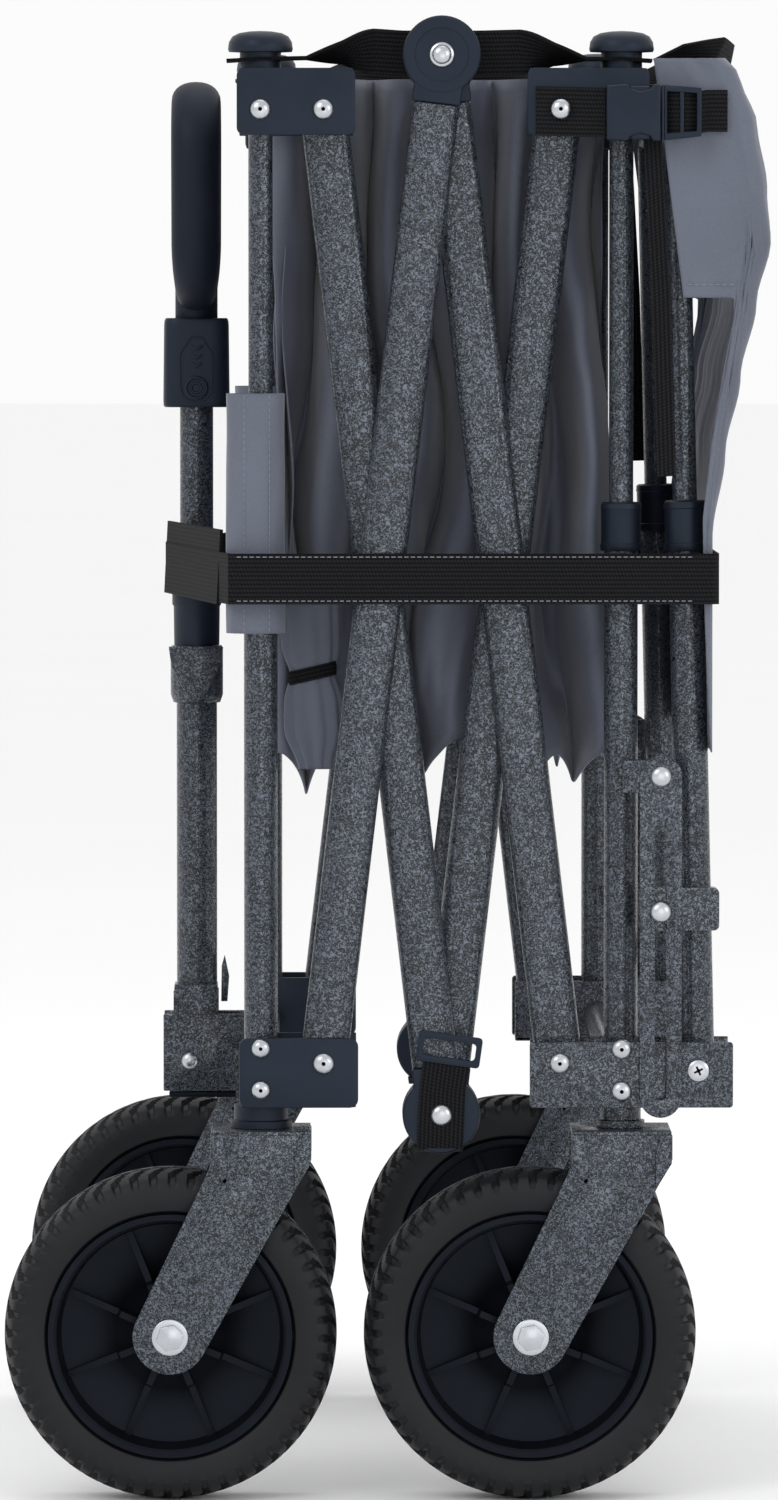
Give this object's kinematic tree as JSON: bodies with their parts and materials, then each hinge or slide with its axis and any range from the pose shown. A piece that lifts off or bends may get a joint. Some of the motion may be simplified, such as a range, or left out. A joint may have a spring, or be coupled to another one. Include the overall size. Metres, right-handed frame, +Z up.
{
  "type": "folding_wagon",
  "caption": "Folded collapsible utility wagon with scissor frame, gathered cloth body, swivel front wheels, drop tailgate and telescoping pull handle",
  "frame": {"origin": "centre of the wheels' track on the floor, below the middle of the whole object", "axes": "+X towards the rear, -Y the near side, +Z up"},
  "size_m": [0.41, 0.5251, 0.7924],
  "materials": {
    "hammered": "hammered paint, semi-gloss",
    "plastic": "fine satin",
    "tyre": "matt",
    "cloth": "woven polyester, matt",
    "webbing": "woven webbing, matt"
  },
  "bodies": {
    "front_frame": {"front_lower_frame": "hammered", "front_bracket_near": "plastic", "front_bracket_far": "plastic", "front_collar_near": "plastic", "front_collar_far": "plastic", "storage_strap": "webbing"},
    "bars_a": {"bar_a_near": "hammered", "bar_a_far": "hammered", "top_mid_cap_near": "plastic", "top_mid_cap_far": "plastic"},
    "bars_b": {"bar_b_near": "hammered", "bar_b_far": "hammered", "low_mid_cap_near": "plastic", "low_mid_cap_far": "plastic"},
    "bars_c": {"bar_c_near": "hammered", "bar_c_far": "hammered"},
    "bars_d": {"bar_d_near": "hammered", "bar_d_far": "hammered"},
    "front_top": {"front_upper_frame": "hammered", "front_top_bracket_near": "plastic", "front_top_bracket_far": "plastic", "cloth_front": "cloth"},
    "cloth_slider": {"cloth_middle": "cloth"},
    "rear_frame": {"rear_lower_frame": "hammered", "rear_bracket_near": "hammered", "rear_bracket_far": "hammered", "rear_collar_near": "plastic", "rear_collar_far": "plastic", "rear_fork_near": "hammered", "rear_fork_far": "hammered"},
    "rear_top": {"rear_upper_frame": "hammered", "rear_top_bracket_near": "plastic", "rear_top_bracket_far": "plastic", "cloth_rear": "cloth", "buckle_socket": "plastic"},
    "caster_near": {"front_fork_near": "hammered"},
    "caster_far": {"front_fork_far": "hammered"},
    "wheel_front_near": {"rim_front_near": "plastic", "tyre_front_near": "tyre"},
    "wheel_front_far": {"rim_front_far": "plastic", "tyre_front_far": "tyre"},
    "wheel_rear_near": {"rim_rear_near": "plastic", "tyre_rear_near": "tyre"},
    "wheel_rear_far": {"rim_rear_far": "plastic", "tyre_rear_far": "tyre"},
    "tailgate": {"tailgate_frame": "hammered", "tailgate_collar_near": "plastic", "tailgate_collar_far": "plastic"},
    "tailgate_top": {"tailgate_upper_loop": "hammered", "tailgate_cloth": "cloth", "buckle_plug": "plastic"},
    "tailgate_links": {"tailgate_link_near": "hammered", "tailgate_link_far": "hammered"},
    "handle": {"handle_lower_tube": "hammered", "handle_collar": "plastic"},
    "handle_slide": {"handle_inner_tube": "hammered", "latch_housing": "plastic", "handle_grip": "plastic"},
    "latch": {"latch_button": "plastic"}
  },
  "joints": [
    {"name": "fold", "type": "hinge", "parent": "front_frame", "child": "bars_a", "pos_m": [-0.035, 0, 0.235], "axis": [0, 1, 0], "range_deg": [0, 45], "deforming": ["storage_strap"]},
    {"name": "front_crossing", "type": "hinge", "parent": "bars_a", "child": "bars_b", "pos_m": [-0.0052, 0, 0.489], "axis": [0, 1, 0], "range_deg": [-90, 0]},
    {"name": "front_top_pivot", "type": "hinge", "parent": "bars_b", "child": "front_top", "pos_m": [-0.035, 0, 0.743], "axis": [0, 1, 0], "range_deg": [0, 45]},
    {"name": "top_mid_pivot", "type": "hinge", "parent": "bars_a", "child": "bars_c", "pos_m": [0.028, 0, 0.772], "axis": [0, 1, 0], "range_deg": [-90, 0]},
    {"name": "rear_crossing", "type": "hinge", "parent": "bars_c", "child": "bars_d", "pos_m": [0.0612, 0, 0.489], "axis": [0, 1, 0], "range_deg": [0, 90]},
    {"name": "rear_low_pivot", "type": "hinge", "parent": "bars_c", "child": "rear_frame", "pos_m": [0.091, 0, 0.235], "axis": [0, 1, 0], "range_deg": [0, 45]},
    {"name": "rear_top_pivot", "type": "hinge", "parent": "bars_d", "child": "rear_top", "pos_m": [0.091, 0, 0.743], "axis": [0, 1, 0], "range_deg": [-45, 0]},
    {"name": "cloth_spread", "type": "slide", "parent": "front_top", "child": "cloth_slider", "axis": [1, 0, 0], "range_m": [0, 0.72253]},
    {"name": "caster_swivel_near", "type": "hinge", "parent": "front_frame", "child": "caster_near", "pos_m": [-0.0685, -0.228, 0.199], "axis": [0, 0, 1], "range_deg": [-120, 120]},
    {"name": "caster_swivel_far", "type": "hinge", "parent": "front_frame", "child": "caster_far", "pos_m": [-0.0685, 0.228, 0.199], "axis": [0, 0, 1], "range_deg": [-120, 120]},
    {"name": "spin_front_near", "type": "hinge", "parent": "caster_near", "child": "wheel_front_near", "pos_m": [-0.117, -0.228, 0.089], "axis": [0, 1, 0], "continuous": true},
    {"name": "spin_front_far", "type": "hinge", "parent": "caster_far", "child": "wheel_front_far", "pos_m": [-0.117, 0.228, 0.089], "axis": [0, 1, 0], "continuous": true},
    {"name": "spin_rear_near", "type": "hinge", "parent": "rear_frame", "child": "wheel_rear_near", "pos_m": [0.0755, -0.228, 0.089], "axis": [0, 1, 0], "continuous": true},
    {"name": "spin_rear_far", "type": "hinge", "parent": "rear_frame", "child": "wheel_rear_far", "pos_m": [0.0755, 0.228, 0.089], "axis": [0, 1, 0], "continuous": true},
    {"name": "tailgate_hinge", "type": "hinge", "parent": "rear_frame", "child": "tailgate", "pos_m": [0.165, 0, 0.231], "axis": [0, 1, 0], "range_deg": [0, 90]},
    {"name": "tailgate_link_pivot", "type": "hinge", "parent": "rear_frame", "child": "tailgate_links", "pos_m": [0.1447, 0, 0.3883], "axis": [0, 1, 0], "range_deg": [-37.55, 0]},
    {"name": "tailgate_slide", "type": "slide", "parent": "tailgate", "child": "tailgate_top", "axis": [-0.0227, 0, 0.9997], "range_m": [-0.19093, 0]},
    {"name": "handle_pivot", "type": "hinge", "parent": "front_frame", "child": "handle", "pos_m": [-0.11, 0, 0.2175], "axis": [0, -1, 0], "range_deg": [0, 95]},
    {"name": "handle_telescope", "type": "slide", "parent": "handle", "child": "handle_slide", "axis": [0, 0, 1], "range_m": [0, 0.165]},
    {"name": "latch_press", "type": "slide", "parent": "handle_slide", "child": "latch", "axis": [0, 1, 0], "range_m": [0, 0.0035], "stiffness_N_per_m": 400}
  ],
  "couplings": [
    {"joint": "front_crossing", "follows": "fold", "ratio": -2},
    {"joint": "front_top_pivot", "follows": "fold", "ratio": 1},
    {"joint": "top_mid_pivot", "follows": "fold", "ratio": -2},
    {"joint": "rear_crossing", "follows": "fold", "ratio": 2},
    {"joint": "rear_low_pivot", "follows": "fold", "ratio": 1},
    {"joint": "rear_top_pivot", "follows": "fold", "ratio": -1},
    {"joint": "cloth_spread", "follows": "fold", "m_per_rad": 0.91995},
    {"joint": "tailgate_slide", "follows": "fold", "m_per_rad": -0.2431},
    {"joint": "tailgate_link_pivot", "follows": "tailgate_hinge", "ratio": -0.4172}
  ]
}
